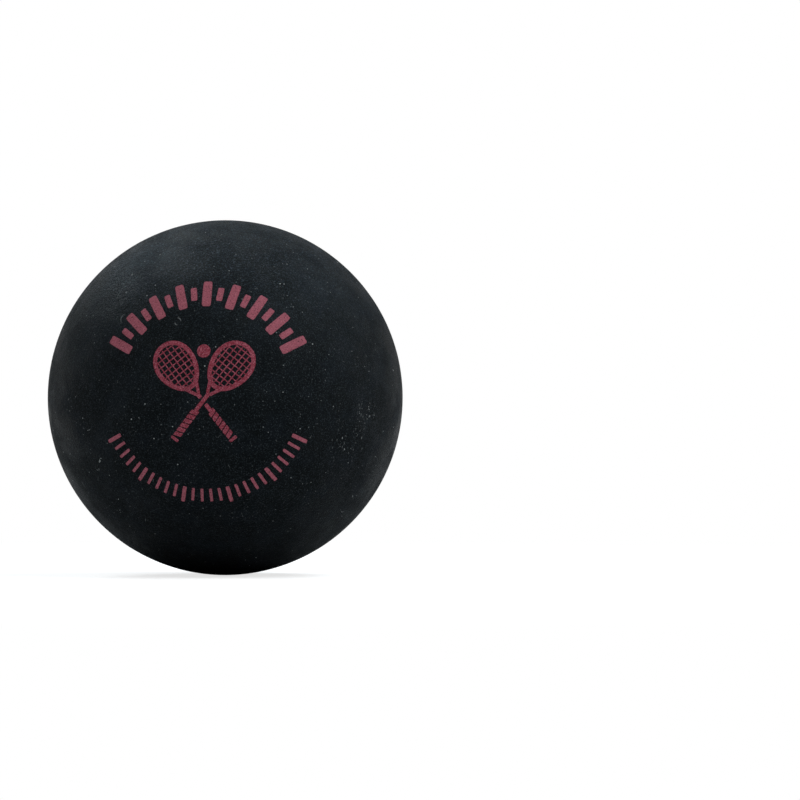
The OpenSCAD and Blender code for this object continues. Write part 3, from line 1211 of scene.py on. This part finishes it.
def soft_box(name, bearing, height, size, power, colour):
    """An area lamp that faces the ball. Its bearing is in degrees to the right of the camera's side, seen
    from above, and its height in degrees above the level of the ball."""
    bearing, height = math.radians(bearing), math.radians(height)
    level = math.sin(bearing) * RIGHT + math.cos(bearing) * TOWARD
    direction = math.cos(height) * level + math.sin(height) * UP
    lamp = bpy.data.lights.new(name, "AREA")
    lamp.shape = "SQUARE"
    lamp.size = size
    lamp.energy = power
    lamp.color = colour
    box = bpy.data.objects.new(name, lamp)
    box.location = direction * LAMP_DISTANCE
    box.rotation_euler = direction.to_track_quat("Z", "Y").to_euler()
    bpy.context.scene.collection.objects.link(box)
    print(f"{name}: {size} m wide, {power} W")


soft_box("soft_box_front_right", bearing=57, height=45, size=BIG_BOX, power=2.08, colour=DAYLIGHT)
soft_box("soft_box_front_left", bearing=-60, height=52, size=BIG_BOX, power=1.05, colour=DAYLIGHT)
soft_box("soft_box_back_left", bearing=-148, height=46, size=SMALL_BOX, power=1.66, colour=SKY)
soft_box("soft_box_back_right", bearing=118, height=50, size=SMALL_BOX, power=1.60, colour=SKY)

# %% [markdown]
# A white backdrop stands behind the ball, and the rest of the room is dim, so the ball's sides fade to a
# thin pale rim and its face stays black. All the white in the picture comes from what camera rays see,
# and adds no light to the ball. In what the rubber mirrors, the backdrop is a soft patch that fades out
# between two angles from its middle.

# %% World
ROOM_DIFFUSE = 0.04
ROOM_GLOSS = 0.14
BACKDROP_GLOSS = 0.42
BACKDROP_EDGE = (math.cos(math.radians(40)), math.cos(math.radians(10)))

world = bpy.data.worlds.new("studio")
world.use_nodes = True
room = world.node_tree
room.nodes.clear()
path = add(room, "LightPath").outputs
sky_direction = add(room, "TexCoord").outputs["Generated"]
facing = add(room, "VectorMath", [sky_direction, -TOWARD], operation="DOT_PRODUCT")
backdrop = add(room, "MapRange", [facing, *BACKDROP_EDGE, ROOM_GLOSS, BACKDROP_GLOSS], **SOFT)
gloss = add(room, "Math", [path["Is Glossy Ray"], backdrop], **TIMES)
brightness = any_of(room, path["Is Camera Ray"], path["Is Transmission Ray"], gloss, ROOM_DIFFUSE)
background = add(room, "Background", [linear("#ffffff"), brightness])
add(room, "OutputWorld", [background])
bpy.context.scene.world = world
print(f"the room gives {ROOM_DIFFUSE} of white all round, and mirrors as {ROOM_GLOSS} to {BACKDROP_GLOSS}")

# %% [markdown]
# The ball stands on a sheet of white card. Close to the ball the card is a plain matt surface that shows
# the ball's shadow, with a little added white for the camera alone. Further out it turns to the pure
# white of the backdrop, so no edge or horizon shows. The rubber mirrors it too, at a share of its
# brightness.

# %% Floor
FLOOR_RADIUS = 1.5
FLOOR_GLOW = 0.74
FLOOR_GLOSS = 0.80  # how much of the card's white the rubber mirrors
SHADOW_ZONE = (0.05, 0.16)


def disc(radius, around=96):
    """A flat disc at the ball's lowest point."""
    turn = 2 * np.pi * np.arange(around) / around
    rim = np.stack([radius * np.cos(turn), radius * np.sin(turn), np.full(around, -ball_r)], axis=1)
    return rim, [list(range(around))]


def white_card():
    """Matt white card: it gives the eye a soft pale shadow under the ball, and pure white around it."""
    material, tree, where = new_material("matt_white_card")
    path = add(tree, "LightPath").outputs
    seen = any_of(tree, path["Is Camera Ray"], path["Is Transmission Ray"])
    fibre = add(tree, "TexNoise", [where, per_mm(3.0), 3.0])
    dimmed = add(tree, "Math", [path["Is Glossy Ray"], 1 - FLOOR_GLOSS], **TIMES)
    card = add(tree, "Mix", [fibre, linear("#e4e4e3"), linear("#eaeaea")], **COLOUR)
    card = add(tree, "Mix", [dimmed, card, linear("#000000")], **COLOUR)
    glow = add(tree, "Emission", [linear("#ffffff"), add(tree, "Math", [seen, FLOOR_GLOW], **TIMES)])
    lit_card = add(tree, "AddShader", [add(tree, "BsdfDiffuse", [card]), glow])
    pure = add(tree, "Emission", [linear("#ffffff"), 1.0])
    out = add(tree, "VectorMath", [where], operation="LENGTH")
    far = add(tree, "MapRange", [out, *SHADOW_ZONE], **SOFT)
    mirrored = add(tree, "Math", [path["Is Glossy Ray"], FLOOR_GLOSS], **TIMES)
    far = add(tree, "Math", [far, any_of(tree, seen, mirrored)], **TIMES)
    add(tree, "OutputMaterial", [add(tree, "MixShader", [far, lit_card, pure])])
    print(f"{material.name}: {len(tree.nodes)} nodes")
    return material


floor_mesh = bpy.data.meshes.new("floor")
floor_points, floor_faces = disc(FLOOR_RADIUS)
floor_mesh.from_pydata(floor_points.tolist(), [], floor_faces)
floor = bpy.data.objects.new("floor", floor_mesh)
bpy.context.scene.collection.objects.link(floor)
floor.data.materials.append(white_card())
print(f"the card turns to pure white {SHADOW_ZONE[0]} to {SHADOW_ZONE[1]} m from the ball")

# %% [markdown]
# The picture keeps the colours that the materials were given, with no film curve over them.

# %% View settings
bpy.context.scene.view_settings.view_transform = "Standard"
